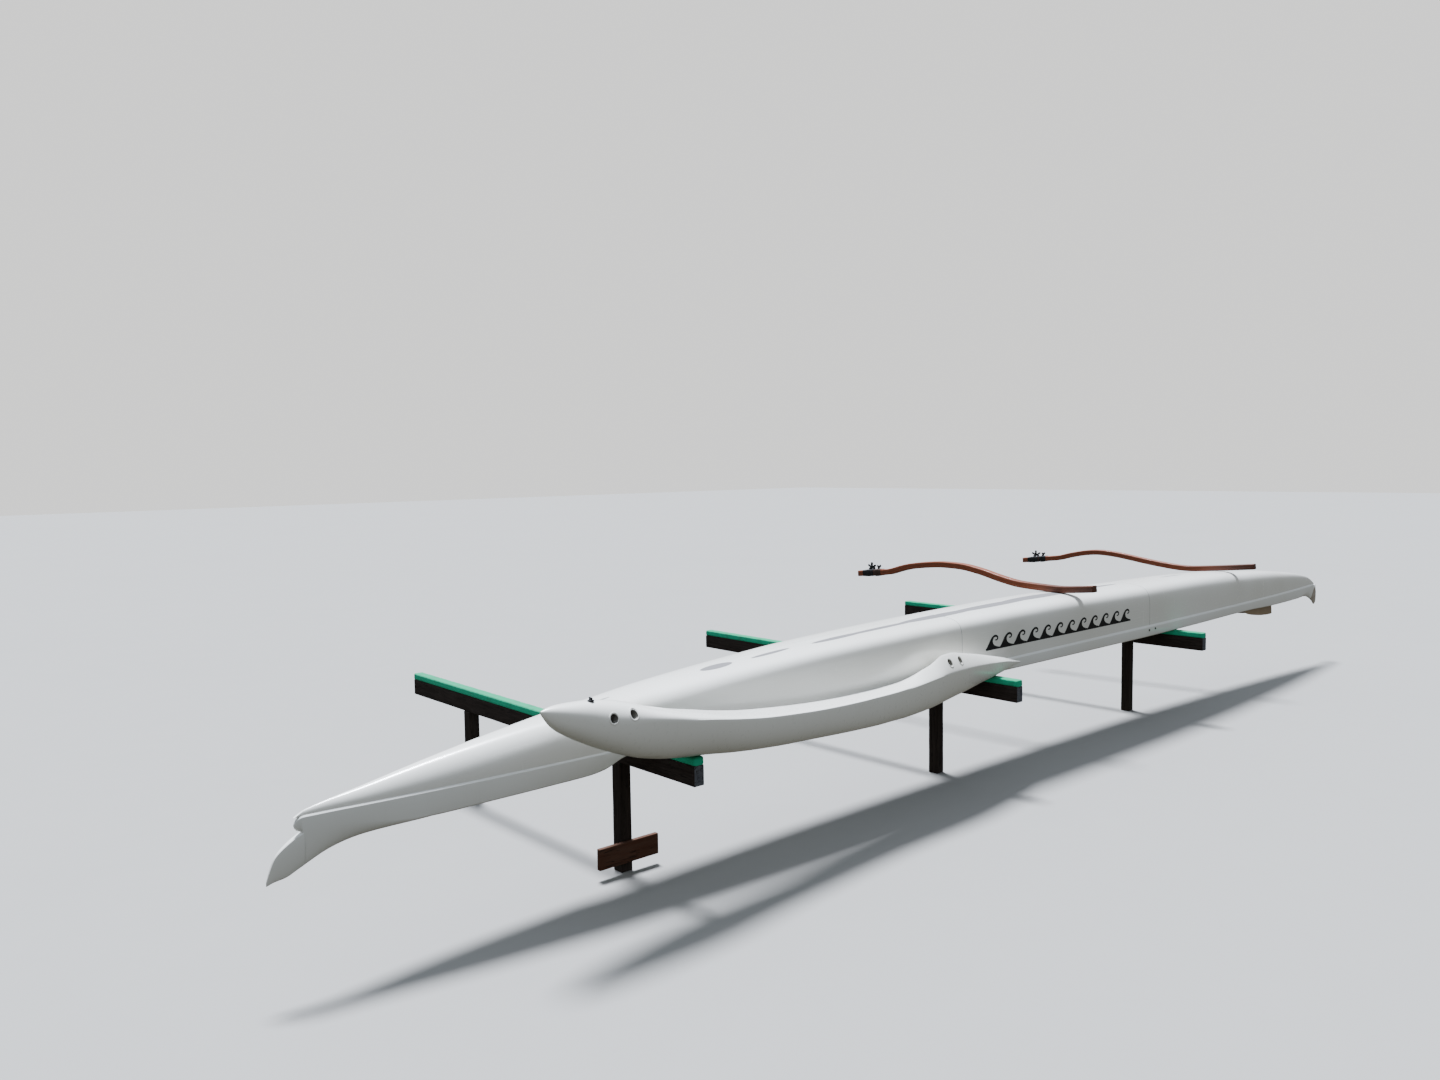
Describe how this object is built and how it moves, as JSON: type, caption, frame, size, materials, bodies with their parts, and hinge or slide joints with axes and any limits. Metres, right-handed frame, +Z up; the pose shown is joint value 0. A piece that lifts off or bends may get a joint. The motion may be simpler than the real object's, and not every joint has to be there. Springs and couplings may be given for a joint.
{
  "type": "four-seat outrigger canoe on a storage rack",
  "caption": "Long narrow outrigger canoe in three bolted sections, stored keel up on a padded timber rack, with its float beside it and two curved booms laid across the hull.",
  "frame": {"origin": "centre of the footprint's bounding box, on the ground under the posts", "axes": "+X from the canoe's stern to its bow, +Y from the float's side across the rack, +Z up"},
  "size_m": [10.52, 3.0403, 1.2924],
  "materials": {
    "gelcoat": "semi-gloss, slightly yellowed",
    "deck": "semi-gloss",
    "inside": "matte",
    "guard": "satin",
    "boom_wood": "varnished",
    "bar_wood": "varnished",
    "timber": "rough, weathered",
    "board": "rough, weathered",
    "pad": "matte",
    "rubber": "matte"
  },
  "bodies": {
    "root": {"hull_stern": "gelcoat", "hull_middle": "gelcoat", "hull_bow": "gelcoat", "float_hull": "gelcoat", "float_deck": "gelcoat", "float_end_aft": "gelcoat", "float_end_fore": "gelcoat", "deck_stern": "deck", "deck_bow": "deck", "gunwale_port": "deck", "gunwale_starboard": "deck", "seat_1": "inside", "seat_2": "inside", "seat_3": "inside", "seat_4": "inside", "joint_frame_aft_a": "inside", "joint_frame_aft_b": "inside", "joint_frame_fore_a": "inside", "joint_frame_fore_b": "inside", "bulkhead_stern": "inside", "bulkhead_bow": "inside", "spreader_1": "bar_wood", "spreader_2": "bar_wood", "spreader_3": "bar_wood", "spreader_4": "bar_wood", "splash_guard": "guard", "float_plug": "rubber", "post_near_1": "timber", "post_far_1": "timber", "beam_1": "timber", "pad_1": "pad", "pad_free_1": "pad", "post_near_2": "timber", "post_far_2": "timber", "beam_2": "timber", "pad_2": "pad", "pad_free_2": "pad", "post_near_3": "timber", "post_far_3": "timber", "beam_3": "timber", "pad_3": "pad", "pad_free_3": "pad", "foot_board": "board"},
    "boom_rear": {"boom_rear": "boom_wood", "lashing_rear": "rubber"},
    "boom_front": {"boom_front": "boom_wood", "lashing_front": "rubber"}
  },
  "joints": [
    {"name": "boom_rear_lift", "type": "slide", "parent": "root", "child": "boom_rear", "axis": [0, 0, 1], "range_m": [0, 0.4]},
    {"name": "boom_front_lift", "type": "slide", "parent": "root", "child": "boom_front", "axis": [0, 0, 1], "range_m": [0, 0.4]}
  ]
}
